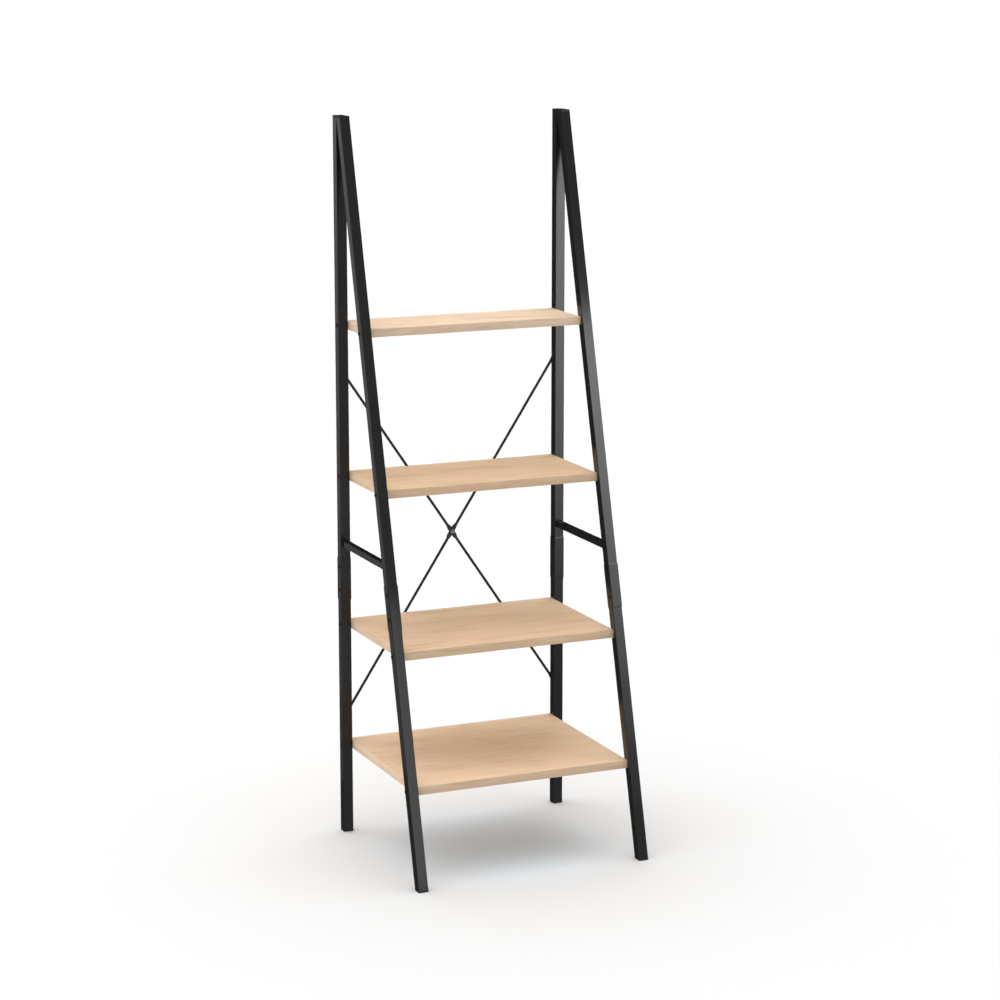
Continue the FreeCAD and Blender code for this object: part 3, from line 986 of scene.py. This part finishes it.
@dataclass(frozen=True)
class GlossPanel:
    """Upright lamp that only shows as a sheen in the paint, fading towards its foot.

    It is a stack of strips, each a little brighter than the one below it.

    Attributes:
        name: name of the lamp.
        facing: which way it shines.
        left: its lowest X.
        right: its highest X.
        y: the Y of its plane.
        foot: its lowest Z.
        top: its highest Z.
        foot_radiance: how bright it would be at its foot.
        top_radiance: how bright it would be at its top.
        strips: how many strips it is made of.
    """

    name: str
    facing: Facing
    left: float
    right: float
    y: float
    foot: float
    top: float
    foot_radiance: float
    top_radiance: float
    strips: int = 8

    def build(self) -> None:
        """Adds the strips from the foot up."""
        for strip in range(self.strips):
            share = (strip + 0.5) / self.strips
            radiance = self.foot_radiance + (self.top_radiance - self.foot_radiance) * share
            middle = self.foot + (self.top - self.foot) * share
            self.add_strip(f"{self.name}_{strip}", middle, radiance)
        LOG.info("%s: %d strips", self.name, self.strips)

    def add_strip(self, name: str, middle: float, radiance: float) -> None:
        """Adds one strip, by the height of its middle."""
        lamp = bpy.data.lights.new(name, "AREA")
        lamp.shape = "RECTANGLE"
        lamp.size = self.right - self.left
        lamp.size_y = (self.top - self.foot) / self.strips
        lamp.energy = radiance * math.pi * lamp.size * lamp.size_y
        holder = bpy.data.objects.new(name, lamp)
        holder.location = ((self.left + self.right) / 2, self.y, middle)
        holder.rotation_euler = (math.pi / 2, 0.0, self.facing.value)
        holder.visible_camera = False
        holder.visible_diffuse = False
        bpy.context.scene.collection.objects.link(holder)


PANELS = (
    GlossPanel(
        "right_front_panel",
        Facing.TO_BACK,
        left=0.50,
        right=0.98,
        y=-0.75,
        foot=0.24,
        top=1.65,
        foot_radiance=0.05,
        top_radiance=5.9,
    ),
    GlossPanel(
        "left_back_panel",
        Facing.TO_FRONT,
        left=-1.00,
        right=-0.40,
        y=0.60,
        foot=0.02,
        top=1.95,
        foot_radiance=0.09,
        top_radiance=0.56,
    ),
    GlossPanel(
        "left_low_panel",
        Facing.TO_BACK,
        left=-0.28,
        right=-0.08,
        y=-0.60,
        foot=0.05,
        top=0.82,
        foot_radiance=1.55,
        top_radiance=1.65,
        strips=1,
    ),
)


@dataclass(frozen=True)
class Studio:
    """Pale floor, soft overhead light and the camera at the front left.

    Attributes:
        camera_place: where the camera is.
        camera_turn: how far it is turned to the right.
        camera_tilt: how far it looks up, so below zero when it looks down.
        camera_reach: how far it sees.
        sensor: width of its sensor in millimetres.
        lens: its focal length in millimetres.
        floor_radius: radius of the round floor.
        floor_sides: corners of the round floor.
        floor_tone: grey of the floor.
        floor_cool: its colour under the shelf, painted light: lighter and bluer than the floor's
            grey, which lifts the shelf's shadow and cancels the warm light bounced off the wood.
        painted_lift_from: distance from the middle where that painted light starts to fade.
        painted_lift_to: distance from the middle where it has gone.
        backdrop: how bright the surroundings look to the camera.
        sky: light from all round.
        sky_back: how much brighter the back is than the sides.
        sky_left: how much brighter the left is than the middle.
        overhead: light from straight above.
        overhead_power: how narrow that light is.
        gloss: brightness that the paint mirrors at the sides.
        gloss_front: how much brighter it is in front.
        gloss_right: how much brighter it is at the back right.
        gloss_low: how soon that last share fades with height.
        gloss_fall: how much darker it gets upwards, at the back.
    """

    camera_place: Triple = (-2.7379, -6.2913, 2.3068)
    camera_turn: float = math.radians(23.705)
    camera_tilt: float = math.radians(-11.66)
    camera_reach: float = 200.0
    sensor: float = 36.0
    lens: float = 101.85
    floor_radius: float = 60.0
    floor_sides: int = 96
    floor_tone: float = 0.655
    floor_cool: Colour = (0.70, 0.79, 0.875)
    painted_lift_from: float = 0.05
    painted_lift_to: float = 0.42
    backdrop: float = 1.05
    sky: float = 0.64
    sky_back: float = 0.62
    sky_left: float = 0.22
    overhead: float = 2.76
    overhead_power: float = 4.0
    gloss: float = 0.30
    gloss_front: float = 0.25
    gloss_right: float = 0.9
    gloss_low: float = 6.0
    gloss_fall: float = 0.6

    def build(self) -> None:
        """Sets up everything that isn't the shelf."""
        self.add_camera()
        self.add_floor()
        self.add_world()
        for panel in PANELS:
            panel.build()
        bpy.context.scene.view_settings.view_transform = "Standard"

    def add_camera(self) -> None:
        """Camera at the front left, a little above the shelf."""
        data = bpy.data.cameras.new("camera")
        data.sensor_width = self.sensor
        data.lens = self.lens
        data.clip_end = self.camera_reach
        holder = bpy.data.objects.new("camera", data)
        holder.location = self.camera_place
        holder.rotation_euler = (math.pi / 2 + self.camera_tilt, 0.0, -self.camera_turn)
        bpy.context.scene.collection.objects.link(holder)
        bpy.context.scene.camera = holder

    def add_floor(self) -> None:
        """Adds the wide pale floor, which shows in no reflection."""
        bm = bmesh.new()
        bmesh.ops.create_circle(
            bm, cap_ends=True, segments=self.floor_sides, radius=self.floor_radius
        )
        mesh = bpy.data.meshes.new("floor")
        bm.to_mesh(mesh)
        bm.free()
        floor = bpy.data.objects.new("floor", mesh)
        bpy.context.scene.collection.objects.link(floor)
        mesh.materials.append(self.floor_white())
        floor.visible_glossy = False

    def floor_white(self) -> bpy.types.Material:
        """White, with painted light under the boards: lighter and bluer there, which lifts the
        shelf's shadow and cancels the warm light bounced off the wood.
        """
        material = bpy.data.materials.new("floor_white")
        material.use_nodes = True
        g = Graph(material.node_tree)
        axes = g.node("ShaderNodeSeparateXYZ", {}, {0: g.coords()})
        x, y = (g.out(axes, name) for name in "XY")
        # Painted light: the floor is lighter and bluer near the middle, under the shelf, which
        # lifts its shadow.
        away = ((x * x + y * y) ** 0.5).ramp(self.painted_lift_from, self.painted_lift_to)
        tone = g.blend(away, self.floor_cool, (self.floor_tone,) * 3)
        g.surface(g.out(g.node("ShaderNodeBsdfDiffuse", {}, {"Color": tone})))
        return material

    def diffuse_light(self, x: Sock, y: Sock, high: Sock) -> Sock:
        """What the surroundings shed: brightest overhead, dimmer in front and at the right."""
        overhead = high ** self.overhead_power * self.overhead
        return (y * self.sky_back - x * self.sky_left + self.sky + overhead).above(0.0)

    def mirrored_light(self, x: Sock, y: Sock, high: Sock) -> Sock:
        """What the paint mirrors: brighter in front and low at the back right, darker above."""
        low = (1.0 - high * self.gloss_low).above(0.0)
        back_right = x.above(0.0) * y.above(0.0) * low * self.gloss_right
        fall = high * (y + 1.0) * (self.gloss_fall / 2)
        return (self.gloss - y * self.gloss_front - fall + back_right).above(0.0)

    def add_world(self) -> None:
        """White to the eye, with lights of its own for matt and for glossy surfaces."""
        world = bpy.data.worlds.new("studio")
        bpy.context.scene.world = world
        world.use_nodes = True
        g = Graph(world.node_tree)
        where = g.out(g.node("ShaderNodeTexCoord"), "Generated")
        axes = g.node("ShaderNodeSeparateXYZ", {}, {0: where})
        x, y, z = (g.out(axes, name) for name in "XYZ")
        high = z.above(0.0)
        path = g.node("ShaderNodeLightPath")
        seen = g.out(path, "Is Camera Ray")
        mirrored = g.out(path, "Is Glossy Ray")
        matt = self.diffuse_light(x, y, high)
        lit = mirrored * self.mirrored_light(x, y, high) + (1.0 - mirrored) * matt
        strength = seen * self.backdrop + (1.0 - seen) * lit
        values = {"Color": (1.0, 1.0, 1.0, 1.0), "Strength": strength}
        shader = g.node("ShaderNodeBackground", {}, values)
        g.node("ShaderNodeOutputWorld", {}, {"Surface": g.out(shader)})


# Painted light and shade: the top board is painted lighter, as it gets the most light from above,
# and the middle boards darker, as the boards over them shade them.
BOARDS = (
    Board("top_shelf", 1.0, lift=(1.04, 1.07, 1.14)),
    Board("upper_middle_shelf", 2.0, lift=(0.95, 0.92, 0.87)),
    Board("lower_middle_shelf", 3.0, lift=(0.965, 0.95, 0.93)),
    Board("bottom_shelf", 4.0),
)


def main() -> None:
    """Builds the shelf's looks and the studio."""
    logging.basicConfig(level=logging.INFO, format="%(message)s")
    Studio().build()
    for side in Side:
        SideFrame(side).build()
    for board in BOARDS:
        board.build()
    Brace().build()


if __name__ == "__main__":
    main()
